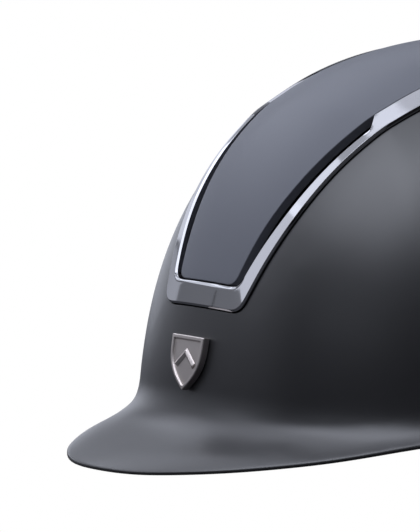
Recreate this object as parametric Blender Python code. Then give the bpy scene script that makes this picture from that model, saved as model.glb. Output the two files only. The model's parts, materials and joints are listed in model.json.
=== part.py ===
"""Riding helmet with a wide moulded brim, a bright trim frame over the crown and a shield badge.

The front faces -Y, the crown faces +Z and the helmet is the same on both sides of X = 0. It rests on
the front of the brim and on the flat nape rim, at Z = 0. Lengths are in metres and angles in degrees.
"""
import math
from collections import namedtuple

import bmesh
import bpy
from mathutils import Vector

# Shell: the crown is one smooth dome, measured from the middle of its widest plane
DOME_FRONT = 0.1378
DOME_REAR = 0.143
DOME_HALF_WIDTH = 0.1097
DOME_DEPTH = 0.1472
PLAN_POWER = 2.39
PROFILE_POWER = 2.444
HEIGHT = 0.1485
SHELL_WALL = 0.003

# Brim: how far it stands out from the dome, and the lie of its edge
BRIM_REACH_FRONT = 0.0363
BRIM_REACH_SIDE = 0.0032
BRIM_REACH_REAR = 0.0040
BRIM_SPREAD = 30.0
BRIM_FADE_START = 96.0
BRIM_FADE_END = 152.0
BRIM_WALL = 0.0016
EDGE_NOSE = 0.0005
EDGE_RISE = 0.0195
ROOT_HEIGHT = 0.0221
BRIM_HOLLOW = 0.66
BRIM_FLAT = 0.55

# Edge band under the brim
BAND_HEIGHT = 0.0011
BAND_WIDTH = 0.0028
BAND_SETBACK = 0.0003
BAND_LEAN = 0.7

# Trim frame: a closed loop round the crown panel, on angles counted from the front horizon over the crown
FRAME_RISE = 0.0105
FRAME_REAR = 155.0
FRAME_HALF_WIDTH = 0.048
FRAME_BAR = 0.0084
FRAME_PROUD = 0.0013
FRAME_BEVEL = 0.0007
FRAME_CORNER = 0.0042
STEP_START = 53.3
STEP_END = 55.6
ARM_NARROW = 0.0060
ARM_WIDE = 0.0098
SLOT_WIDTH = 0.0058

# Crown panel
PANEL_GAP = 0.0005
PANEL_PROUD = 0.0007
PANEL_CORNER = 0.0034

# Badge, between the root of the brim and the frame
BADGE_RISE = 0.0016
BADGE_WIDTH = 0.0215
BADGE_HEIGHT = 0.0192
BADGE_THICKNESS = 0.0026
BADGE_BORDER = 0.0015
BADGE_RELIEF = 0.0006
BADGE_POINT = 1.75

# Foam liner: eight blocks round the head, from the front round the +X side, and one over it
LINER_FRONT = 0.031
LINER_REAR = 0.033
LINER_SIDE = 0.023
LINER_TOP = 0.026
LINER_RAISE = 0.006
LINER_LIP = 0.004
LINER_SEAM = 58.0
LINER_BLOCKS = (
    "liner_brow_left",
    "liner_temple_left",
    "liner_side_left",
    "liner_nape_left",
    "liner_nape_right",
    "liner_side_right",
    "liner_temple_right",
    "liner_brow_right",
)

# Clearance between pieces that sit against each other, and of the foam behind the curved wall
GAP = 0.0003
LINER_GAP = 0.0007

# Mesh steps, and how far the shell's sections lean to their own window points from an even spread
BAR_STEPS = 4
CORNER_STEPS = 3
FORE_STEPS = 6
AFT_STEPS = 15
DOME_STEPS = 8
BRIM_STEPS = 6
BLOCK_SIDES = 6
BLOCK_ROWS = 5
CROWN_ROWS = 3
BADGE_STEPS = 9
BADGE_TOP_STEPS = 6
BADGE_BACK_RING = 0.5
BADGE_FACE_RING = 0.4
SECTION_PULL = 0.4
TANGENT_STEP = 0.001
AIM_PASSES = 8

Look = namedtuple("Look", "colour roughness metallic sharp")
PLASTIC = Look((0.060, 0.063, 0.075), 0.5, 0, 50)
CHROME = Look((0.62, 0.62, 0.66), 0.12, 1, 25)
PEWTER = Look((0.30, 0.285, 0.27), 0.35, 1, 30)
RUBBER = Look((0.012, 0.012, 0.013), 0.6, 0, 32)
FOAM = Look((0.015, 0.015, 0.016), 0.8, 0, 32)

Rim = namedtuple("Rim", "angle rise root droop")
# One row for each section of the brim, by its angle round from the front: rise as a share of EDGE_RISE,
# root as a share of ROOT_HEIGHT, droop as the slope of the surface at the edge in degrees
RIMS = (
    Rim(0, 0.00, 1.00, 21),
    Rim(5, 0.00, 0.99, 21),
    Rim(15, 0.09, 0.90, 22),
    Rim(30, 0.34, 0.69, 24),
    Rim(45, 0.69, 0.51, 28),
    Rim(60, 0.91, 0.42, 34),
    Rim(78, 1.00, 0.37, 40),
    Rim(96, 0.96, 0.36, 44),
    Rim(114, 0.66, 0.38, 46),
    Rim(132, 0.24, 0.40, 48),
    Rim(149, 0.00, 0.42, 48),
    Rim(180, 0.00, 0.42, 48),
)

Arm = namedtuple("Arm", "fore outer narrow wide slot")
# One row for each place along an arm of the frame, by its angle over the crown: the outer edge as a
# share of FRAME_HALF_WIDTH, the narrow and wide arm as shares of ARM_NARROW and ARM_WIDE, the slot
# beside the panel as a share of SLOT_WIDTH
ARMS = (
    Arm(15, 0.400, 1.06, 0.90, 0.40),
    Arm(23, 0.544, 1.06, 0.90, 0.45),
    Arm(31, 0.672, 0.98, 0.90, 0.80),
    Arm(37, 0.763, 0.86, 0.90, 1.02),
    Arm(43, 0.826, 0.76, 0.90, 0.94),
    Arm(50, 0.886, 0.69, 0.90, 0.90),
    Arm(60, 0.955, 0.66, 0.93, 0.90),
    Arm(75, 0.994, 0.66, 1.00, 0.90),
    Arm(90, 1.000, 0.66, 1.00, 0.90),
    Arm(108, 0.965, 0.66, 0.97, 0.90),
    Arm(128, 0.865, 0.66, 0.90, 0.90),
    Arm(150, 0.710, 0.66, 0.82, 0.90),
    Arm(162, 0.610, 0.66, 0.80, 0.90),
)

BRIM_FRONT = DOME_FRONT + BRIM_REACH_FRONT
BRIM_REAR = DOME_REAR + BRIM_REACH_REAR
CENTRE = Vector((0, (BRIM_FRONT - BRIM_REAR) / 2, HEIGHT - DOME_DEPTH))
MAP_RADIUS = (DOME_FRONT + DOME_DEPTH) / 2
HEAD_ROOM = (
    DOME_HALF_WIDTH - SHELL_WALL - LINER_SIDE,
    DOME_FRONT - SHELL_WALL - LINER_FRONT,
    DOME_REAR - SHELL_WALL - LINER_REAR,
    DOME_DEPTH - SHELL_WALL - LINER_TOP,
)


def degrees_of(length):
    """The angle over the crown that a length along it takes."""
    return math.degrees(length / MAP_RADIUS)


def smooth_step(start, end, at):
    """0 before start, 1 after end and an even S between them."""
    share = min(max((at - start) / (end - start), 0), 1)
    return share * share * (3 - 2 * share)


def read_table(rows, column, at):
    """A column of a table at one angle, on a smooth curve that never overshoots the rows."""
    angles = [row[0] for row in rows]
    values = [getattr(row, column) for row in rows]
    at = min(max(at, angles[0]), angles[-1])
    steps = [b - a for a, b in zip(angles, angles[1:])]
    slopes = [(b - a) / step for a, b, step in zip(values, values[1:], steps)]
    ends = [slopes[0]]
    for before, after in zip(slopes, slopes[1:]):
        ends.append(2 * before * after / (before + after) if before * after > 0 else 0)
    ends.append(slopes[-1])
    index = next(i for i in range(len(steps)) if at <= angles[i + 1])
    step = steps[index]
    t = (at - angles[index]) / step
    return (
        values[index] * (1 + 2 * t) * (1 - t) ** 2
        + ends[index] * step * t * (1 - t) ** 2
        + values[index + 1] * t * t * (3 - 2 * t)
        - ends[index + 1] * step * t * t * (1 - t)
    )


def dome_radius(direction, half_width, front, rear, depth):
    """How far a dome lies from its centre along a direction."""
    length = front if direction.y < 0 else rear
    across = abs(direction.x / half_width) ** PLAN_POWER + abs(direction.y / length) ** PLAN_POWER
    total = across ** (PROFILE_POWER / PLAN_POWER) + abs(direction.z / depth) ** PROFILE_POWER
    return total ** (-1 / PROFILE_POWER)


def shell_radius(direction):
    """How far the outside of the shell lies from the dome's centre along a direction."""
    return dome_radius(direction, DOME_HALF_WIDTH, DOME_FRONT, DOME_REAR, DOME_DEPTH)


def dome_normal(point):
    """The outward direction of the dome's surface at a point counted from its centre."""
    length = DOME_FRONT if point.y < 0 else DOME_REAR
    across = abs(point.x / DOME_HALF_WIDTH) ** PLAN_POWER + abs(point.y / length) ** PLAN_POWER
    lift = max(across, 1e-12) ** (PROFILE_POWER / PLAN_POWER - 1)
    slope_x = lift * abs(point.x / DOME_HALF_WIDTH) ** (PLAN_POWER - 1) / DOME_HALF_WIDTH
    slope_y = lift * abs(point.y / length) ** (PLAN_POWER - 1) / length
    slope_z = abs(point.z / DOME_DEPTH) ** (PROFILE_POWER - 1) / DOME_DEPTH
    return Vector((
        math.copysign(slope_x, point.x),
        math.copysign(slope_y, point.y),
        math.copysign(slope_z, point.z),
    )).normalized()


def crown_direction(fore, lateral):
    """The direction to the shell at an angle over the crown and a distance from the middle plane."""
    tilt = 0
    angle = math.radians(fore)
    for _ in range(AIM_PASSES):
        ray = Vector((
            math.sin(tilt),
            -math.cos(tilt) * math.cos(angle),
            math.cos(tilt) * math.sin(angle),
        ))
        tilt = math.asin(lateral / shell_radius(ray))
    return ray


def crown_point(fore, lateral, proud):
    """A point of the crown, standing proud of the shell's outside by a height."""
    ray = crown_direction(fore, lateral)
    point = ray * shell_radius(ray)
    return CENTRE + point + dome_normal(point) * proud


def arm_outer(fore):
    """The outer edge of the frame's arm, from the middle plane."""
    return FRAME_HALF_WIDTH * read_table(ARMS, "outer", fore)


def arm_inner(fore):
    """The inner edge of the frame's arm, which steps in where the slot ends."""
    step = smooth_step(STEP_START, STEP_END, fore)
    narrow = ARM_NARROW * read_table(ARMS, "narrow", fore)
    wide = ARM_WIDE * read_table(ARMS, "wide", fore)
    return arm_outer(fore) - narrow * (1 - step) - wide * step


def panel_side(fore):
    """The side of the crown panel, across the slot and then the thin gap from the arm."""
    step = smooth_step(STEP_START, STEP_END, fore)
    slot = SLOT_WIDTH * read_table(ARMS, "slot", fore)
    return arm_inner(fore) - slot * (1 - step) - PANEL_GAP * step


def arm_stations(start, end):
    """Angles along one arm, close together at the step."""
    middle = (STEP_START + STEP_END) / 2
    before = [start + (STEP_START - start) * i / FORE_STEPS for i in range(1, FORE_STEPS + 1)]
    after = [STEP_END + (end - STEP_END) * i / AFT_STEPS for i in range(AFT_STEPS + 1)]
    return before + [middle] + after


def half_outline(front, rear, side, corner):
    """One side of a rounded loop on the crown, as angle and distance from the middle plane."""
    inset = degrees_of(corner)
    half = [(front, (side(front) - corner) * i / BAR_STEPS) for i in range(BAR_STEPS + 1)]
    turns = [math.pi / 2 * i / CORNER_STEPS for i in range(1, CORNER_STEPS + 1)]
    for turn in turns:
        fore = front + inset * (1 - math.cos(turn))
        half.append((fore, side(fore) - corner * (1 - math.sin(turn))))
    half += [(fore, side(fore)) for fore in arm_stations(front + inset, rear - inset)[:-1]]
    for turn in [0] + turns:
        fore = rear - inset * (1 - math.sin(turn))
        half.append((fore, side(fore) - corner * (1 - math.cos(turn))))
    half += [(rear, (side(rear) - corner) * (1 - i / BAR_STEPS)) for i in range(1, BAR_STEPS + 1)]
    return half


def whole_outline(half):
    """Both sides of a rounded loop, from the front round the +X side and back."""
    return half + [(fore, -lateral) for fore, lateral in half[-2:0:-1]]


def brow_angle(rise):
    """The angle over the crown of a place on the front, a rise along the dome above the brim's root."""
    _, edge_up, _, root = edge_place(0)
    height = edge_up + root - CENTRE.z
    return math.degrees(math.atan2(height, dome_out(0, height))) + degrees_of(rise)


def frame_outline(grow=0):
    """The frame's outer edge, or a line a little outside it."""
    front = brow_angle(BADGE_RISE + BADGE_HEIGHT + FRAME_RISE - grow)
    rear = FRAME_REAR + degrees_of(grow)
    return half_outline(front, rear, lambda fore: arm_outer(fore) + grow, FRAME_CORNER + grow)


def frame_inner_outline():
    """The frame's inner edge."""
    front = brow_angle(BADGE_RISE + BADGE_HEIGHT + FRAME_RISE + FRAME_BAR)
    return half_outline(front, FRAME_REAR - degrees_of(FRAME_BAR), arm_inner, FRAME_CORNER)


def panel_half_outline():
    """The edge of the crown panel, a thin gap inside the frame's bars."""
    reach = FRAME_BAR + PANEL_GAP
    front = brow_angle(BADGE_RISE + BADGE_HEIGHT + FRAME_RISE + reach)
    return half_outline(front, FRAME_REAR - degrees_of(reach), panel_side, PANEL_CORNER)


def window_outline():
    """The opening in the shell that the frame and the panel fill."""
    return whole_outline(frame_outline(GAP))


def rim_angles():
    """The angle round from the front of each section of the shell, one for each window point."""
    outline = window_outline()
    count = len(outline)
    angles = []
    for index, (fore, lateral) in enumerate(outline):
        ray = crown_direction(fore, lateral)
        own = math.atan2(ray.x, -ray.y) % (2 * math.pi)
        even = 2 * math.pi * index / count
        angles.append(own * SECTION_PULL + even * (1 - SECTION_PULL))
    return angles


def edge_place(turn):
    """How far out and how high the top of the brim's edge lies, and its slope, at an angle round."""
    angle = abs(math.degrees(turn + math.pi) % 360 - 180)
    peak = math.exp(-((angle / BRIM_SPREAD) ** 2))
    fade = smooth_step(BRIM_FADE_START, BRIM_FADE_END, angle)
    flange = BRIM_REACH_SIDE * (1 - fade) + BRIM_REACH_REAR * fade
    reach = BRIM_REACH_FRONT * peak + flange * (1 - peak)
    out = shell_radius(Vector((math.sin(turn), -math.cos(turn), 0))) + reach
    droop = math.radians(read_table(RIMS, "droop", angle))
    up = BAND_HEIGHT + GAP + BRIM_WALL * math.cos(droop) + EDGE_RISE * read_table(RIMS, "rise", angle)
    return out - EDGE_NOSE, up, droop, ROOT_HEIGHT * read_table(RIMS, "root", angle)


def dome_out(turn, height):
    """How far out the shell lies at an angle round and a height above the dome's centre."""
    plan = shell_radius(Vector((math.sin(turn), -math.cos(turn), 0)))
    return plan * (1 - abs(height / DOME_DEPTH) ** PROFILE_POWER) ** (1 / PROFILE_POWER)


def around(turn, out, up):
    """A point at an angle round from the front, a distance out from the centre and a height."""
    return Vector((out * math.sin(turn), CENTRE.y - out * math.cos(turn), up))


def brim_curve(turn, steps):
    """The top of the brim from its root on the dome to its edge, hollow at the root."""
    edge_out, edge_up, droop, root = edge_place(turn)
    root_up = edge_up + root
    root_out = dome_out(turn, root_up - CENTRE.z)
    lean = dome_out(turn, root_up - TANGENT_STEP - CENTRE.z) - root_out
    down = Vector((lean, -TANGENT_STEP)).normalized()
    start, end = Vector((root_out, root_up)), Vector((edge_out, edge_up))
    reach = edge_out - root_out
    hold_start = start + down * root * BRIM_HOLLOW
    hold_end = end - Vector((math.cos(droop), -math.sin(droop))) * reach * BRIM_FLAT
    curve = []
    for index in range(steps + 1):
        t = index / steps
        place = (
            start * (1 - t) ** 3
            + hold_start * 3 * t * (1 - t) ** 2
            + hold_end * 3 * t * t * (1 - t)
            + end * t ** 3
        )
        curve.append(around(turn, place.x, place.y))
    return curve


def shell_outside():
    """Sections of the shell's outside, each from the window down to the brim's edge."""
    sections = []
    for (fore, lateral), turn in zip(window_outline(), rim_angles()):
        brim = brim_curve(turn, BRIM_STEPS)
        top = crown_direction(fore, lateral)
        foot = (brim[0] - CENTRE).normalized()
        section = []
        for index in range(DOME_STEPS):
            ray = top.lerp(foot, index / DOME_STEPS).normalized()
            section.append(CENTRE + ray * shell_radius(ray))
        sections.append(section + brim)
    return sections


def surface_normals(sections):
    """The outward direction at each point of sections that go round in a closed loop."""
    normals = []
    count = len(sections)
    for k, section in enumerate(sections):
        before, after = sections[k - 1], sections[(k + 1) % count]
        row = []
        for j in range(len(section)):
            down = section[min(j + 1, len(section) - 1)] - section[max(j - 1, 0)]
            row.append(down.cross(after[j] - before[j]).normalized())
        normals.append(row)
    return normals


def make_object(name, points, faces, look):
    """A named object with one closed mesh, its faces turned outwards, and its own material."""
    mesh = bpy.data.meshes.new(name)
    mesh.from_pydata([tuple(point) for point in points], [], faces)
    work = bmesh.new()
    work.from_mesh(mesh)
    bmesh.ops.recalc_face_normals(work, faces=work.faces)
    work.to_mesh(mesh)
    work.free()
    mesh.shade_smooth()
    mesh.set_sharp_from_angle(angle=math.radians(look.sharp))
    material = bpy.data.materials.new(name)
    material.use_nodes = True
    shader = material.node_tree.nodes["Principled BSDF"]
    shader.inputs["Base Color"].default_value = (*look.colour, 1)
    shader.inputs["Roughness"].default_value = look.roughness
    shader.inputs["Metallic"].default_value = look.metallic
    mesh.materials.append(material)
    made = bpy.data.objects.new(name, mesh)
    bpy.context.scene.collection.objects.link(made)
    return made


def ring_mesh(sections):
    """Points and faces of closed sections joined in a closed loop."""
    count, size = len(sections), len(sections[0])
    points = [point for section in sections for point in section]
    faces = []
    for k in range(count):
        after = (k + 1) % count
        for j in range(size):
            beside = (j + 1) % size
            faces.append((k * size + j, k * size + beside, after * size + beside, after * size + j))
    return points, faces


def stack_mesh(loops, first_pole, last_pole):
    """Points and faces of loops one inside the next, closed by a point at each end."""
    size = len(loops[0])
    points = [point for loop in loops for point in loop] + [first_pole, last_pole]
    first, last = len(points) - 2, len(points) - 1
    faces = []
    for j in range(size):
        beside = (j + 1) % size
        for row in range(len(loops) - 1):
            below, above = row * size, (row + 1) * size
            faces.append((below + j, below + beside, above + beside, above + j))
        end = (len(loops) - 1) * size
        faces.append((beside, j, first))
        faces.append((end + j, end + beside, last))
    return points, faces


def build_shell():
    """The moulded shell, with its brim in one and a window over the crown."""
    sections = shell_outside()
    normals = surface_normals(sections)
    closed = []
    for k, section in enumerate(sections):
        under = []
        for j, point in enumerate(section):
            thin = smooth_step(DOME_STEPS, len(section) - 1, j)
            wall = SHELL_WALL * (1 - thin) + BRIM_WALL * thin
            under.append(point - normals[k][j] * wall)
        along = (section[-1] - section[-2]).normalized()
        nose = (section[-1] + under[-1]) / 2 + along * EDGE_NOSE
        closed.append(section + [nose] + under[::-1])
    make_object("shell", *ring_mesh(closed), PLASTIC)


def build_edge_band():
    """The dark band that closes the underside of the brim's edge, flat where the helmet rests."""
    closed = []
    for turn in rim_angles():
        out, up, droop, _ = edge_place(turn)
        low_out = out - BRIM_WALL * math.sin(droop)
        top = up - BRIM_WALL * math.cos(droop) - GAP
        outer = out + EDGE_NOSE - BAND_SETBACK
        inner = low_out - BAND_WIDTH
        closed.append([
            around(turn, outer, top),
            around(turn, outer, top - BAND_HEIGHT),
            around(turn, inner, top - BAND_HEIGHT),
            around(turn, inner, top + BAND_WIDTH * math.tan(droop) * BAND_LEAN),
            around(turn, low_out, top),
        ])
    make_object("edge_band", *ring_mesh(closed), RUBBER)


def build_frame():
    """The bright trim: front bar, two arms over the crown and a rear bar, in one closed loop."""
    outer, inner = whole_outline(frame_outline()), whole_outline(frame_inner_outline())
    closed = []
    for (fore_out, side_out), (fore_in, side_in) in zip(outer, inner):
        across = math.hypot((fore_in - fore_out) / degrees_of(1), side_in - side_out)
        bevel = FRAME_BEVEL / across
        profile = (
            (0, -SHELL_WALL),
            (0, FRAME_PROUD - FRAME_BEVEL),
            (bevel, FRAME_PROUD),
            (1 - bevel, FRAME_PROUD),
            (1, FRAME_PROUD - FRAME_BEVEL),
            (1, -SHELL_WALL),
        )
        closed.append([
            crown_point(
                fore_out + (fore_in - fore_out) * share, side_out + (side_in - side_out) * share, height
            )
            for share, height in profile
        ])
    make_object("trim_frame", *ring_mesh(closed), CHROME)


def build_panel():
    """The raised crown panel, a curved plate with rounded corners inside the frame."""
    half = panel_half_outline()
    rows = half[BAR_STEPS:len(half) - BAR_STEPS]
    columns = 2 * BAR_STEPS
    top, under = [], []
    for fore, lateral in rows:
        for column in range(columns + 1):
            side = lateral * (2 * column / columns - 1)
            top.append(crown_point(fore, side, PANEL_PROUD))
            under.append(crown_point(fore, side, -SHELL_WALL))
    width = columns + 1
    count = len(top)
    faces = []
    for row in range(len(rows) - 1):
        for column in range(columns):
            a, b = row * width + column, row * width + column + 1
            c, d = b + width, a + width
            faces.append((a, b, c, d))
            faces.append((count + d, count + c, count + b, count + a))
    rim = list(range(width))
    rim += [row * width + columns for row in range(1, len(rows))]
    rim += [(len(rows) - 1) * width + column for column in range(columns - 1, -1, -1)]
    rim += [row * width for row in range(len(rows) - 2, 0, -1)]
    for a, b in zip(rim, rim[1:] + rim[:1]):
        faces.append((b, a, count + a, count + b))
    make_object("crown_panel", top + under, faces, PLASTIC)


def shield_outline():
    """The edge of a plain heater shield about its middle, from the top corner down and round."""
    side = []
    for index in range(BADGE_STEPS):
        share = index / BADGE_STEPS
        side.append((
            BADGE_WIDTH / 2 * math.cos(math.pi / 2 * share ** BADGE_POINT),
            BADGE_HEIGHT * (0.5 - share),
        ))
    steps = range(BADGE_TOP_STEPS - 1, 0, -1)
    top = [(BADGE_WIDTH * (0.5 - step / BADGE_TOP_STEPS), BADGE_HEIGHT / 2) for step in steps]
    tip = [(0, -BADGE_HEIGHT / 2)]
    return side + tip + [(-x, y) for x, y in side[::-1]] + top


def build_badge():
    """A plain shield with a raised border, its back following the shell."""
    outline = shield_outline()
    border = 1 - 2 * BADGE_BORDER / BADGE_WIDTH
    slope = BADGE_RELIEF / BADGE_WIDTH
    front = GAP + BADGE_THICKNESS
    level = brow_angle(BADGE_RISE + BADGE_HEIGHT / 2)
    rings = (
        (BADGE_BACK_RING, GAP),
        (1, GAP),
        (1, front - BADGE_RELIEF / 2),
        (1 - slope, front),
        (border, front),
        (border - slope, front - BADGE_RELIEF),
        (BADGE_FACE_RING, front - BADGE_RELIEF),
    )
    loops = [
        [crown_point(level + degrees_of(y * share), x * share, height) for x, y in outline]
        for share, height in rings
    ]
    back = crown_point(level, 0, GAP)
    face = crown_point(level, 0, front - BADGE_RELIEF)
    make_object("badge", *stack_mesh(loops, back, face), PEWTER)


def liner_points(turn, lift):
    """The liner's outside and inside on one ray, at an angle round from the front and one upwards."""
    ray = Vector((
        math.sin(turn) * math.cos(lift),
        -math.cos(turn) * math.cos(lift),
        math.sin(lift),
    ))
    point = ray * shell_radius(ray)
    across = Vector((math.cos(turn), math.sin(turn), 0))
    normal = dome_normal(point)
    in_plane = normal - across * normal.dot(across)
    outer = CENTRE + point - in_plane / in_plane.length_squared * (SHELL_WALL + LINER_GAP)
    return outer, CENTRE + ray * dome_radius(ray, *HEAD_ROOM)


def liner_section(turn):
    """A section of a side block: its lip, its inside from the rim to the seam, and its outside back."""
    _, edge_up, _, _ = edge_place(turn)
    low = edge_up + LINER_RAISE - CENTRE.z
    start = math.atan2(low, dome_out(turn, low))
    seam = math.radians(LINER_SEAM)
    rows = [liner_points(turn, start + (seam - start) * row / BLOCK_ROWS) for row in range(BLOCK_ROWS + 1)]
    for point in rows[0]:
        point.z = CENTRE.z + low
    lip = (rows[0][0] + rows[0][1]) / 2 - Vector((0, 0, LINER_LIP))
    return [lip] + [inner for _, inner in rows] + [outer for outer, _ in rows[::-1]]


def block_mesh(sections):
    """Points and faces of a side block, its sections joined and both ends closed."""
    size = len(sections[0])
    points = [point for section in sections for point in section]
    faces = []
    for k in range(len(sections) - 1):
        here, after = k * size, (k + 1) * size
        for j in range(size):
            beside = (j + 1) % size
            faces.append((here + j, here + beside, after + beside, after + j))
    for end in (0, len(points) - size):
        faces.append((end, end + 1, end + size - 1))
        for row in range(1, BLOCK_ROWS + 1):
            faces.append((end + row, end + row + 1, end + size - row - 1, end + size - row))
    return points, faces


def build_liner_blocks():
    """The foam blocks round the head, an equal turn each, with a thin seam between their flat ends."""
    block_turn = 2 * math.pi / len(LINER_BLOCKS)
    for number, name in enumerate(LINER_BLOCKS):
        sections = []
        for side in range(BLOCK_SIDES + 1):
            turn = block_turn * (number + side / BLOCK_SIDES)
            inwards = (side == 0) - (side == BLOCK_SIDES)
            shift = Vector((math.cos(turn), math.sin(turn), 0)) * inwards * GAP / 2
            sections.append([point + shift for point in liner_section(turn)])
        make_object(name, *block_mesh(sections), FOAM)


def build_liner_crown():
    """The foam block over the head, inside the seam of the side blocks."""
    start = math.radians(LINER_SEAM) + GAP / min(HEAD_ROOM)
    sides = BLOCK_SIDES * len(LINER_BLOCKS)
    outside, inside = [], []
    for row in range(CROWN_ROWS):
        lift = start + (math.pi / 2 - start) * row / CROWN_ROWS
        pairs = [liner_points(2 * math.pi * side / sides, lift) for side in range(sides)]
        outside.append([outer for outer, _ in pairs])
        inside.append([inner for _, inner in pairs])
    outer_top, inner_top = liner_points(0, math.pi / 2)
    make_object("liner_crown", *stack_mesh(inside[::-1] + outside, inner_top, outer_top), FOAM)


def main():
    """Clear the scene and build each piece."""
    for old in list(bpy.data.objects):
        bpy.data.objects.remove(old, do_unlink=True)
    build_shell()
    build_edge_band()
    build_frame()
    build_panel()
    build_badge()
    build_liner_blocks()
    build_liner_crown()


main()
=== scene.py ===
"""Looks of the riding helmet: its finishes, its smooth surfaces and the studio round it.

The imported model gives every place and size. The front of the helmet faces -Y, its crown faces +Z and
it rests on Z = 0. Lengths are in metres.
"""

import json
import logging
import math
from dataclasses import dataclass
from enum import Enum

import bpy
from mathutils import Matrix, Vector
from mathutils.kdtree import KDTree

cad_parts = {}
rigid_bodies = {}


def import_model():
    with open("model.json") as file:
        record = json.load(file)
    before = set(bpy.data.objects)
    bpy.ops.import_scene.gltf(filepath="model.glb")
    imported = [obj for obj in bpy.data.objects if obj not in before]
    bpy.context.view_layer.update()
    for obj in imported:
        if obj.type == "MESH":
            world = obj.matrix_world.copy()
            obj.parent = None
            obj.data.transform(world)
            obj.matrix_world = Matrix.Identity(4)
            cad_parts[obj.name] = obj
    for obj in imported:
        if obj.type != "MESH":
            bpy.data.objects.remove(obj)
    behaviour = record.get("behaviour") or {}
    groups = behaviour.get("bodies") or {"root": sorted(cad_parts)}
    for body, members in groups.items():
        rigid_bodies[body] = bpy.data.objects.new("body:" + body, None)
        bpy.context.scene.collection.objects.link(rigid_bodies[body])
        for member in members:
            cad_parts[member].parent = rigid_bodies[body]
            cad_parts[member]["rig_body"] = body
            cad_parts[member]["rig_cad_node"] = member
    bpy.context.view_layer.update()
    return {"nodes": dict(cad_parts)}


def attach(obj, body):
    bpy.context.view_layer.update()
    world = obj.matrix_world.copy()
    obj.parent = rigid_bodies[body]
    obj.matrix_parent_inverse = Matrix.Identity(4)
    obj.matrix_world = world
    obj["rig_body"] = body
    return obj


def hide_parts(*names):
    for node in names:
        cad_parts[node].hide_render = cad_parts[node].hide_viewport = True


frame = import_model()

BODY = "root"
MIDDLE = Vector((0, 0, 0.08))
# The copied solids: how near points are merged, and the most bend and skew of a quad, in degrees
MERGE_DISTANCE = 1e-5
QUAD_BEND = 50.0
QUAD_SKEW = 60.0
LINER_NODES = ("liner_crown",) + tuple(
    f"liner_{place}_{side}" for side in ("left", "right") for place in ("brow", "temple", "side", "nape")
)
log = logging.getLogger("helmet")


class Slot(Enum):
    """The record's material slots."""

    SHELL = "shell_plastic"
    TRIM = "bright_trim"
    BADGE = "badge_metal"
    EDGE = "edge_rubber"
    LINER = "liner_foam"


def only(obj: bpy.types.Object) -> None:
    """Select one object alone and make it active.

    Args:
        obj: The object to select.
    """
    bpy.ops.object.select_all(action="DESELECT")
    obj.select_set(True)
    bpy.context.view_layer.objects.active = obj


def select_sharp_edges(angle: float) -> None:
    """Select the edges that turn more than an angle, on the object in edit mode.

    Args:
        angle: The least turn between the faces beside an edge, in degrees.
    """
    bpy.ops.mesh.select_mode(type="EDGE")
    bpy.ops.mesh.select_all(action="DESELECT")
    bpy.ops.mesh.edges_select_sharp(sharpness=math.radians(angle))


def surface_copy(node: str, name: str) -> bpy.types.Object:
    """Copy a CAD node and turn its loose triangles into a clean cage of quads.

    Args:
        node: The CAD node's name.
        name: The new piece's name.

    Returns:
        The copy, a merged closed mesh at the origin.
    """
    source = frame["nodes"][node]
    only(source)
    bpy.ops.object.duplicate()
    copy = bpy.context.view_layer.objects.active
    copy.parent = None
    copy.matrix_world = Matrix.Identity(4)
    copy.name = name
    copy.data.name = name
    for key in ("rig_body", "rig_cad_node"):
        if key in copy:
            del copy[key]
    copy.data.materials.clear()
    bpy.ops.object.mode_set(mode="EDIT")
    bpy.ops.mesh.select_all(action="SELECT")
    bpy.ops.mesh.remove_doubles(threshold=MERGE_DISTANCE)
    bpy.ops.mesh.tris_convert_to_quads(
        face_threshold=math.radians(QUAD_BEND), shape_threshold=math.radians(QUAD_SKEW)
    )
    bpy.ops.object.mode_set(mode="OBJECT")
    return copy


def soften(obj: bpy.types.Object, angle: float, width: float, segments: int, levels: int) -> None:
    """Round an object's sharp edges and smooth its surface.

    Args:
        obj: The object.
        angle: The least turn of an edge that is rounded, in degrees.
        width: The width of the rounding.
        segments: The rounding's steps.
        levels: The subdivision's levels.
    """
    only(obj)
    bpy.ops.object.mode_set(mode="EDIT")
    select_sharp_edges(angle)
    bpy.ops.mesh.bevel(offset=width, offset_type="OFFSET", segments=segments, profile=0.5, clamp_overlap=True)
    bpy.ops.object.mode_set(mode="OBJECT")
    smooth = obj.modifiers.new("smooth", "SUBSURF")
    smooth.levels = smooth.render_levels = levels
    bpy.ops.object.modifier_apply(modifier=smooth.name)
    bpy.ops.object.shade_smooth()


def settle(obj: bpy.types.Object, slot: Slot, *nodes: str) -> None:
    """Let a finished piece ride on the helmet and hide the solids it stands for.

    Args:
        obj: The finished piece.
        slot: The record's slot for its finish; not used.
        nodes: The CAD nodes that it replaces.
    """
    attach(obj, BODY)
    if nodes:
        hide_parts(*nodes)
    log.info("%s: %d faces, replaces %s", obj.name, len(obj.data.polygons), ", ".join(nodes) or "nothing")


class NodeTree:
    """A short way to add and join shader nodes."""

    def __init__(self, tree: bpy.types.NodeTree) -> None:
        """Keep the node tree to fill."""
        self.tree = tree

    def add(self, kind: str, **values: object) -> bpy.types.Node:
        """Add a node and set its properties and inputs.

        Args:
            kind: The node's type.
            values: Properties by name, and inputs by name with spaces as underscores.

        Returns:
            The new node.
        """
        node = self.tree.nodes.new(kind)
        for key, value in values.items():
            if hasattr(node, key):
                setattr(node, key, value)
            else:
                node.inputs[key.replace("_", " ")].default_value = value
        return node

    def join(self, source: bpy.types.NodeSocket, target: bpy.types.NodeSocket) -> None:
        """Link an output to an input."""
        self.tree.links.new(source, target)


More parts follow.
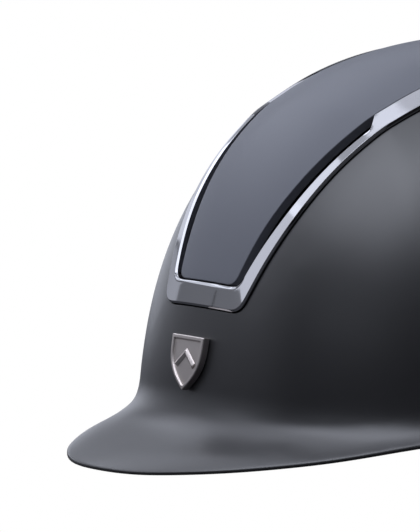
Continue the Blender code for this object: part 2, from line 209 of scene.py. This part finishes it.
def grain_group() -> bpy.types.ShaderNodeTree:
    """The fine moulded grain and slow tone shared by the helmet's finishes.

    Returns:
        A node group with inputs Fine Scale, Slow Scale and Tone Depth, and outputs Height and Tone.
    """
    name = "moulded grain"
    if name in bpy.data.node_groups:
        return bpy.data.node_groups[name]
    group = bpy.data.node_groups.new(name, "ShaderNodeTree")
    for label, start in (("Fine Scale", 1800.0), ("Slow Scale", 14.0), ("Tone Depth", 0.1)):
        socket = group.interface.new_socket(label, in_out="INPUT", socket_type="NodeSocketFloat")
        socket.default_value = start
    for label in ("Height", "Tone"):
        group.interface.new_socket(label, in_out="OUTPUT", socket_type="NodeSocketFloat")
    net = NodeTree(group)
    given = net.add("NodeGroupInput")
    out = net.add("NodeGroupOutput")
    place = net.add("ShaderNodeTexCoord")
    fine = net.add("ShaderNodeTexNoise", Detail=3.0, Roughness=0.6)
    slow = net.add("ShaderNodeTexNoise", Detail=4.0, Roughness=0.55)
    net.join(place.outputs["Object"], fine.inputs["Vector"])
    net.join(place.outputs["Object"], slow.inputs["Vector"])
    net.join(given.outputs["Fine Scale"], fine.inputs["Scale"])
    net.join(given.outputs["Slow Scale"], slow.inputs["Scale"])
    centred = net.add("ShaderNodeMath", operation="SUBTRACT")
    centred.inputs[1].default_value = 0.5
    net.join(slow.outputs["Fac"], centred.inputs[0])
    depth = net.add("ShaderNodeMath", operation="MULTIPLY_ADD")
    depth.inputs[2].default_value = 1.0
    net.join(centred.outputs[0], depth.inputs[0])
    net.join(given.outputs["Tone Depth"], depth.inputs[1])
    net.join(fine.outputs["Fac"], out.inputs["Height"])
    net.join(depth.outputs[0], out.inputs["Tone"])
    return group


@dataclass(frozen=True)
class Finish:
    """A surface finish: one Principled shader with grain, tone and small relief.

    Attributes:
        name: The material's name.
        colour: The base colour.
        roughness: The mean roughness.
        metallic: 0 for plastic and 1 for metal.
        grain: The grain's scale, in turns for each metre.
        relief: The grain's height.
        tone: How far the tone of the surface drifts.
        rough_drift: How far the roughness drifts.
        specular: The strength of the gloss of a plastic.
        edge_tint: How much of its light a metal mirrors at its edges, where 1 is all of it.
    """

    name: str
    colour: tuple[float, float, float]
    roughness: float
    metallic: float = 0.0
    grain: float = 1800.0
    relief: float = 0.00002
    tone: float = 0.1
    rough_drift: float = 0.1
    specular: float = 0.5
    edge_tint: float = 1.0

    def build(self) -> bpy.types.Material:
        """Make the material, or give the one made before.

        Returns:
            The material.
        """
        if self.name in bpy.data.materials:
            return bpy.data.materials[self.name]
        material = bpy.data.materials.new(self.name)
        material.use_nodes = True
        net = NodeTree(material.node_tree)
        shader = material.node_tree.nodes["Principled BSDF"]
        shader.inputs["Metallic"].default_value = self.metallic
        shader.inputs["Specular IOR Level"].default_value = self.specular
        shader.inputs["Specular Tint"].default_value = (self.edge_tint, self.edge_tint, self.edge_tint, 1)
        grain = net.add("ShaderNodeGroup", node_tree=grain_group())
        grain.inputs["Fine Scale"].default_value = self.grain
        grain.inputs["Tone Depth"].default_value = self.tone
        tint = net.add("ShaderNodeVectorMath", operation="SCALE")
        tint.inputs[0].default_value = self.colour
        net.join(grain.outputs["Tone"], tint.inputs["Scale"])
        net.join(tint.outputs["Vector"], shader.inputs["Base Color"])
        drift = net.add("ShaderNodeMapRange")
        drift.inputs["To Min"].default_value = self.roughness * (1 - self.rough_drift)
        drift.inputs["To Max"].default_value = self.roughness * (1 + self.rough_drift)
        net.join(grain.outputs["Height"], drift.inputs["Value"])
        net.join(drift.outputs["Result"], shader.inputs["Roughness"])
        bump = net.add("ShaderNodeBump", Strength=1.0, Distance=self.relief)
        net.join(grain.outputs["Height"], bump.inputs["Height"])
        net.join(bump.outputs["Normal"], shader.inputs["Normal"])
        return material

    def wear(self, obj: bpy.types.Object) -> None:
        """Give an object this finish alone."""
        obj.data.materials.clear()
        obj.data.materials.append(self.build())


SHELL_PAINT = Finish(
    "matte charcoal lacquer", (0.020, 0.020, 0.022), 0.37, tone=0.12, relief=0.000008, specular=1.0
)
PANEL_PAINT = Finish(
    "satin grey lacquer", (0.182, 0.190, 0.217), 0.40, tone=0.06, relief=0.000008, specular=0.2
)
SMOKED_CHROME = Finish(
    "smoked chrome",
    (0.44, 0.44, 0.455),
    0.07,
    1.0,
    grain=260.0,
    relief=0.000003,
    tone=0.06,
    rough_drift=0.3,
    edge_tint=0.62,
)
PEWTER = Finish("satin pewter", (0.76, 0.70, 0.665), 0.40, 1.0, grain=2400.0, relief=0.00002, tone=0.3)
# The edge band's near-black is partly the rubber's own colour and partly painted shade under the brim's edge.
EDGE_RUBBER_AND_SHADE = Finish("dark edge rubber and painted shade", (0.010, 0.010, 0.011), 0.55, grain=1500.0, relief=0.00003)
FOAM = Finish("black bead foam", (0.012, 0.012, 0.013), 0.85, grain=500.0, relief=0.0003, rough_drift=0.05)


@dataclass
class Shell:
    """The moulded shell with its brim in one, and the raised crown panel.

    Attributes:
        edge: The width of the shell's edge roundings.
        panel_edge: The width of the panel's edge roundings.
        rim_reach: How near to the edge band the shell counts as the brim's rim.
        rim_fall: How much lower the rim is rolled.
        rim_blend: How far from the rim the shell follows it down.
        finish: The shell's lacquer.
        panel_finish: The panel's lacquer.
    """

    edge: float = 0.0003
    panel_edge: float = 0.0010
    rim_reach: float = 0.0020
    rim_fall: float = 0.0013
    rim_blend: float = 0.0080
    finish: Finish = SHELL_PAINT
    panel_finish: Finish = PANEL_PAINT

    def lower_rim(self, skin: bpy.types.Object) -> None:
        """Roll the brim's rim a little lower over the edge band, so that the lit top reaches down to it.

        Args:
            skin: The shell's cage.
        """
        band = frame["nodes"]["edge_band"].data.vertices
        near = KDTree(len(band))
        for index, vertex in enumerate(band):
            near.insert(vertex.co, index)
        near.balance()
        bpy.ops.object.mode_set(mode="EDIT")
        bpy.ops.mesh.select_mode(type="VERT")
        bpy.ops.mesh.select_all(action="DESELECT")
        bpy.ops.object.mode_set(mode="OBJECT")
        for vertex in skin.data.vertices:
            vertex.select = near.find(vertex.co)[2] < self.rim_reach
        bpy.ops.object.mode_set(mode="EDIT")
        bpy.ops.transform.translate(
            value=(0, 0, -self.rim_fall),
            use_proportional_edit=True,
            proportional_edit_falloff="SMOOTH",
            proportional_size=self.rim_blend,
        )
        bpy.ops.object.mode_set(mode="OBJECT")

    def build_shell(self) -> bpy.types.Object:
        """Make the smooth shell.

        Returns:
            The finished piece.
        """
        skin = surface_copy("shell", "shell_skin")
        self.lower_rim(skin)
        soften(skin, 70, self.edge, 2, 2)
        self.finish.wear(skin)
        return skin

    def build_panel(self) -> bpy.types.Object:
        """Make the smooth crown panel.

        Returns:
            The finished piece.
        """
        plate = surface_copy("crown_panel", "panel_plate")
        soften(plate, 50, self.panel_edge, 3, 2)
        self.panel_finish.wear(plate)
        return plate

    def build(self) -> None:
        """Make and seat both pieces."""
        settle(self.build_shell(), Slot.SHELL, "shell")
        settle(self.build_panel(), Slot.SHELL, "crown_panel")


@dataclass
class Trim:
    """The bright frame round the crown panel.

    Attributes:
        edge: The width of the frame's edge roundings.
        bar_edge: The width of the rounding along the front bar's upper edge.
        bar_front: The place on Y that the front bar lies ahead of.
        bar_heights: The heights between which the middles of the front bar's faces lie.
        bar_rim: How far below the upper of those heights its upper edge may lie.
        facing: The most that the Y part of a forward face's normal may be.
        finish: The chrome.
    """

    edge: float = 0.0004
    bar_edge: float = 0.0009
    bar_front: float = -0.112
    bar_heights: tuple[float, float] = (0.0575, 0.0632)
    bar_rim: float = 0.0008
    facing: float = -0.7
    finish: Finish = SMOKED_CHROME

    def round_bar(self, band: bpy.types.Object) -> None:
        """Give the front bar's upper edge a broad rounding.

        Args:
            band: The frame's cage.
        """
        low, high = self.bar_heights
        bpy.ops.object.mode_set(mode="EDIT")
        bpy.ops.mesh.select_mode(type="FACE")
        bpy.ops.mesh.select_all(action="DESELECT")
        bpy.ops.object.mode_set(mode="OBJECT")
        for face in band.data.polygons:
            faces_forward = face.normal.y < self.facing and face.center.y < self.bar_front
            face.select = faces_forward and low < face.center.z < high
        bpy.ops.object.mode_set(mode="EDIT")
        bpy.ops.mesh.region_to_loop()
        bpy.ops.object.mode_set(mode="OBJECT")
        points = band.data.vertices
        for edge in band.data.edges:
            lowest = min(points[index].co.z for index in edge.vertices)
            edge.select = edge.select and lowest > high - self.bar_rim
        bpy.ops.object.mode_set(mode="EDIT")
        bpy.ops.mesh.select_mode(type="EDGE")
        bpy.ops.mesh.bevel(
            offset=self.bar_edge, offset_type="OFFSET", segments=4, profile=0.5, clamp_overlap=True
        )
        bpy.ops.object.mode_set(mode="OBJECT")

    def build(self) -> None:
        """Make and seat the frame."""
        band = surface_copy("trim_frame", "trim_band")
        self.round_bar(band)
        soften(band, 25, self.edge, 3, 2)
        self.finish.wear(band)
        settle(band, Slot.TRIM, "trim_frame")


@dataclass
class Badge:
    """The shield on the brow, with a plain raised chevron on its field.

    Attributes:
        edge: The width of the shield's edge roundings.
        arm_length: The length of each arm of the chevron.
        arm_width: The width of an arm.
        arm_height: The height of an arm, half of which stands out of the field.
        arm_angle: How far an arm slopes down from level, in degrees.
        arm_edge: The width of the roundings along an arm.
        smooth_angle: The most turn between faces of the chevron that are shaded as one, in degrees.
        rise: How far the chevron's point lies above the middle of the shield.
        finish: The metal.
    """

    edge: float = 0.00012
    arm_length: float = 0.0068
    arm_width: float = 0.0026
    arm_height: float = 0.0016
    arm_angle: float = 38.0
    arm_edge: float = 0.00018
    smooth_angle: float = 35.0
    rise: float = 0.0038
    finish: Finish = PEWTER

    def find_seat(self, shield: bpy.types.Object) -> Matrix:
        """Find the place on the shield's field where the chevron's point sits.

        Args:
            shield: The finished shield, still shown.

        Returns:
            A matrix whose Z axis points out of the field and whose Y axis points up along it.

        Raises:
            RuntimeError: If the shield isn't on the helmet's middle.
        """
        bpy.context.view_layer.update()
        level = sum(corner[2] for corner in shield.bound_box) / 8 + self.rise
        hit, place, normal, _ = shield.ray_cast(Vector((0, -1, level)), Vector((0, 1, 0)))
        if not hit:
            raise RuntimeError("the shield isn't on the helmet's middle")
        # The field is flat across the helmet, so the facet's small lean to one side is dropped
        across = Vector((1, 0, 0))
        outward = Vector((0, normal.y, normal.z)).normalized()
        turn = Matrix((across, outward.cross(across), outward)).transposed().to_4x4()
        return Matrix.Translation(place) @ turn

    def build_arm(self, seat: Matrix, side: int) -> bpy.types.Object:
        """Make one arm of the chevron, a bar whose section is a diamond and whose ridge faces outwards.

        Args:
            seat: The place of the chevron's point.
            side: 1 for the arm on the wearer's left and -1 for the other.

        Returns:
            The arm.
        """
        slope = Matrix.Rotation(math.radians(-self.arm_angle * side), 4, "Z")
        reach = Matrix.Translation((side * self.arm_length / 2, 0, 0))
        length = self.arm_length + self.arm_width / 2
        size = Matrix.Diagonal((length, self.arm_width * math.sqrt(0.5), self.arm_height * math.sqrt(0.5), 1))
        bpy.ops.object.select_all(action="DESELECT")
        bpy.ops.mesh.primitive_cube_add(size=1, rotation=(math.radians(45), 0, 0))
        bpy.ops.object.transform_apply(location=False, rotation=True, scale=False)
        arm = bpy.context.view_layer.objects.active
        arm.matrix_world = seat @ slope @ reach @ size
        bpy.ops.object.transform_apply(location=True, rotation=True, scale=True)
        return arm

    def build_chevron(self, seat: Matrix) -> bpy.types.Object:
        """Make the raised chevron from two arms joined at its point.

        Args:
            seat: The place of the chevron's point.

        Returns:
            The finished piece.
        """
        chevron, other = (self.build_arm(seat, side) for side in (-1, 1))
        only(chevron)
        union = chevron.modifiers.new("union", "BOOLEAN")
        union.operation = "UNION"
        union.object = other
        bpy.ops.object.modifier_apply(modifier=union.name)
        bpy.data.objects.remove(other, do_unlink=True)
        chevron.name = chevron.data.name = "badge_chevron"
        rounding = chevron.modifiers.new("rounding", "BEVEL")
        rounding.width = self.arm_edge
        rounding.segments = 3
        bpy.ops.object.modifier_apply(modifier=rounding.name)
        bpy.ops.object.shade_smooth_by_angle(angle=math.radians(self.smooth_angle))
        self.finish.wear(chevron)
        return chevron

    def build(self) -> None:
        """Make and seat the shield and its chevron."""
        shield = surface_copy("badge", "badge_shield")
        soften(shield, 30, self.edge, 2, 2)
        seat = self.find_seat(shield)
        self.finish.wear(shield)
        settle(shield, Slot.BADGE, "badge")
        settle(self.build_chevron(seat), Slot.BADGE)


@dataclass
class EdgeBand:
    """The dark band under the brim's edge: a rubber band whose near-black colour also paints the shade that
    falls under the edge.

    Attributes:
        edge: The width of the band's edge roundings.
        finish: The near-black rubber, which also stands in for painted shade under the edge.
    """

    edge: float = 0.0002
    finish: Finish = EDGE_RUBBER_AND_SHADE

    def build(self) -> None:
        """Make and seat the band."""
        band = surface_copy("edge_band", "edge_strip")
        soften(band, 30, self.edge, 2, 2)
        self.finish.wear(band)
        settle(band, Slot.EDGE, "edge_band")


@dataclass
class Liner:
    """The black foam liner, open below for the head.

    Attributes:
        edge: The width of the foam's edge roundings.
        seam: How near the points of neighbouring blocks are welded.
        finish: The foam.
    """

    edge: float = 0.0015
    seam: float = 0.0006
    finish: Finish = FOAM

    def build(self) -> None:
        """Weld the blocks into one smooth piece and seat it."""
        blocks = [surface_copy(node, node + "_copy") for node in LINER_NODES]
        bpy.ops.object.select_all(action="DESELECT")
        for block in blocks:
            block.select_set(True)
        bpy.context.view_layer.objects.active = blocks[0]
        bpy.ops.object.join()
        foam = bpy.context.view_layer.objects.active
        foam.name = foam.data.name = "liner_foam"
        bpy.ops.object.mode_set(mode="EDIT")
        bpy.ops.mesh.select_all(action="SELECT")
        bpy.ops.mesh.remove_doubles(threshold=self.seam)
        bpy.ops.mesh.select_mode(type="FACE")
        bpy.ops.mesh.select_all(action="DESELECT")
        bpy.ops.mesh.select_interior_faces()
        bpy.ops.mesh.delete(type="FACE")
        bpy.ops.mesh.select_all(action="SELECT")
        bpy.ops.mesh.normals_make_consistent(inside=False)
        bpy.ops.object.mode_set(mode="OBJECT")
        soften(foam, 40, self.edge, 2, 2)
        self.finish.wear(foam)
        settle(foam, Slot.LINER, *LINER_NODES)


@dataclass(frozen=True)
class Softbox:
    """A studio light with a square or oblong face that points at the helmet.

    Attributes:
        name: The light's name.
        height_angle: How high it stands, in degrees above the camera's level.
        turn: How far round it stands from the camera towards the picture's right, in degrees.
        glow: How bright its face looks.
        width: The width of its face.
        height: The height of its face.
        distance: How far it stands from the helmet.
        colour: Its colour.
    """

    name: str
    height_angle: float
    turn: float
    glow: float
    width: float = 1.1
    height: float = 1.1
    distance: float = 1.6
    colour: tuple[float, float, float] = (0.93, 0.97, 1.1)

    def build(self, right: Vector, up: Vector, back: Vector) -> None:
        """Make the light.

        Args:
            right: The direction to the right of the picture.
            up: The direction up the picture.
            back: The direction towards the camera.
        """
        lift, turn = math.radians(self.height_angle), math.radians(self.turn)
        level = back * math.cos(turn) + right * math.sin(turn)
        way = up * math.sin(lift) + level * math.cos(lift)
        data = bpy.data.lights.new(self.name, "AREA")
        data.shape = "RECTANGLE"
        data.size, data.size_y = self.width, self.height
        data.energy = self.glow * math.pi * self.width * self.height
        data.color = self.colour
        lamp = bpy.data.objects.new(self.name, data)
        bpy.context.scene.collection.objects.link(lamp)
        lamp.location = MIDDLE + way * self.distance
        lamp.rotation_euler = (-way).to_track_quat("-Z", "Y").to_euler()


@dataclass
class Studio:
    """Camera, floor, lights and backdrop.

    Attributes:
        place: Where the camera stands.
        right: The direction to the right of its picture.
        up: The direction up its picture.
        back: The direction from the helmet to the camera.
        lens: The focal length for a sensor 36 mm on its long side, in millimetres.
        lights: The lights.
        far: The farthest that the camera sees.
        floor_size: The length of the floor's sides.
        floor_drop: How far the floor lies under the helmet.
        floor_colour: The floor's colour for all but the camera, which sees it white.
        floor_roughness: The floor's roughness.
        room_colour: The room's colour for all but the camera, which sees it white.
    """

    place: Vector
    right: Vector
    up: Vector
    back: Vector
    lens: float
    lights: tuple[Softbox, ...]
    far: float = 50.0
    floor_size: float = 40.0
    floor_drop: float = 0.0002
    floor_colour: tuple[float, float, float, float] = (0.08, 0.08, 0.085, 1.0)
    floor_roughness: float = 0.9
    room_colour: tuple[float, float, float, float] = (0.016, 0.016, 0.018, 1.0)

    def build_camera(self) -> None:
        """Make the camera and hand it to the scene."""
        data = bpy.data.cameras.new("camera")
        data.lens = self.lens
        data.clip_end = self.far
        camera = bpy.data.objects.new("camera", data)
        bpy.context.scene.collection.objects.link(camera)
        turn = Matrix((self.right, self.up, self.back)).transposed()
        camera.matrix_world = Matrix.Translation(self.place) @ turn.to_4x4()
        bpy.context.scene.camera = camera

    def build_floor(self) -> None:
        """Make the pale floor, which doesn't throw light back at the helmet."""
        bpy.ops.object.select_all(action="DESELECT")
        bpy.ops.mesh.primitive_plane_add(size=self.floor_size, location=(0, 0, -self.floor_drop))
        floor = bpy.context.view_layer.objects.active
        floor.name = "floor"
        material = bpy.data.materials.new("pale floor")
        material.use_nodes = True
        net = NodeTree(material.node_tree)
        shader = material.node_tree.nodes["Principled BSDF"]
        shader.inputs["Base Color"].default_value = self.floor_colour
        shader.inputs["Roughness"].default_value = self.floor_roughness
        glow = net.add("ShaderNodeEmission", Strength=1.0)
        path = net.add("ShaderNodeLightPath")
        mix = net.add("ShaderNodeMixShader")
        net.join(path.outputs["Is Camera Ray"], mix.inputs["Fac"])
        net.join(shader.outputs["BSDF"], mix.inputs[1])
        net.join(glow.outputs["Emission"], mix.inputs[2])
        net.join(mix.outputs["Shader"], material.node_tree.nodes["Material Output"].inputs["Surface"])
        floor.data.materials.append(material)

    def build_world(self) -> None:
        """Make the white backdrop for the camera and a dim room for everything else."""
        world = bpy.data.worlds.new("studio")
        bpy.context.scene.world = world
        world.use_nodes = True
        net = NodeTree(world.node_tree)
        room = world.node_tree.nodes["Background"]
        room.inputs["Color"].default_value = self.room_colour
        white = net.add("ShaderNodeBackground", Color=(1, 1, 1, 1))
        path = net.add("ShaderNodeLightPath")
        mix = net.add("ShaderNodeMixShader")
        net.join(path.outputs["Is Camera Ray"], mix.inputs["Fac"])
        net.join(room.outputs["Background"], mix.inputs[1])
        net.join(white.outputs["Background"], mix.inputs[2])
        net.join(mix.outputs["Shader"], world.node_tree.nodes["World Output"].inputs["Surface"])

    def build(self) -> None:
        """Make everything that isn't the helmet."""
        self.build_camera()
        self.build_floor()
        self.build_world()
        for light in self.lights:
            light.build(self.right, self.up, self.back)
        bpy.context.scene.view_settings.view_transform = "Standard"


STUDIO = Studio(
    place=Vector((3.44852, -2.11508, 0.39963)),
    right=Vector((0.50082, 0.86548, 0.01122)),
    up=Vector((-0.07692, 0.03159, 0.99654)),
    back=Vector((0.86213, -0.49994, 0.08239)),
    lens=772.5,
    lights=(
        Softbox("key box, front left", 55, 315, 2.18),
        Softbox("key box, left", 55, 270, 0.71),
        Softbox("key box, front", 55, 0, 1.14),
        Softbox("top box", 90, 0, 1.32, width=0.8, height=0.8),
        Softbox("rear box, left", 53, 221, 0.90, width=1.0, height=1.0),
        Softbox("rear box", 55, 180, 0.17),
        Softbox("strip box, rear", 32, 185, 1.36, width=1.4, height=0.2),
        Softbox("strip box, left", 35, 266, 0.86, width=0.4, height=1.15),
        Softbox("strip box, rear left", 32, 225, 1.10, width=0.9, height=0.32),
        Softbox("low box, rear", 20, 180, 0.13),
        Softbox("low box, rear left", 20, 227, 0.28, width=1.26),
        Softbox("low box, left", 20, 270, 0.28, width=1.16),
        Softbox("strip box, low front left", 14, 322, 1.30, width=1.0, height=0.1),
        Softbox("low box, front", 20, 0, 0.06),
        Softbox("backdrop, rear", 6, 201, 1.32, width=0.8, height=0.5),
        Softbox("card, rear left", 10, 225, 0.46, width=0.45, height=0.35),
        Softbox("fill box, rear right", 38, 128, 0.60, width=1.3, height=1.3),
    ),
)


def main() -> None:
    """Build the studio and each sub-assembly in order."""
    logging.basicConfig(level=logging.INFO, format="%(name)s: %(message)s")
    STUDIO.build()
    for part in (Shell(), Trim(), Badge(), EdgeBand(), Liner()):
        part.build()
        log.info("%s is done", type(part).__name__)


if __name__ == "__main__":
    main()
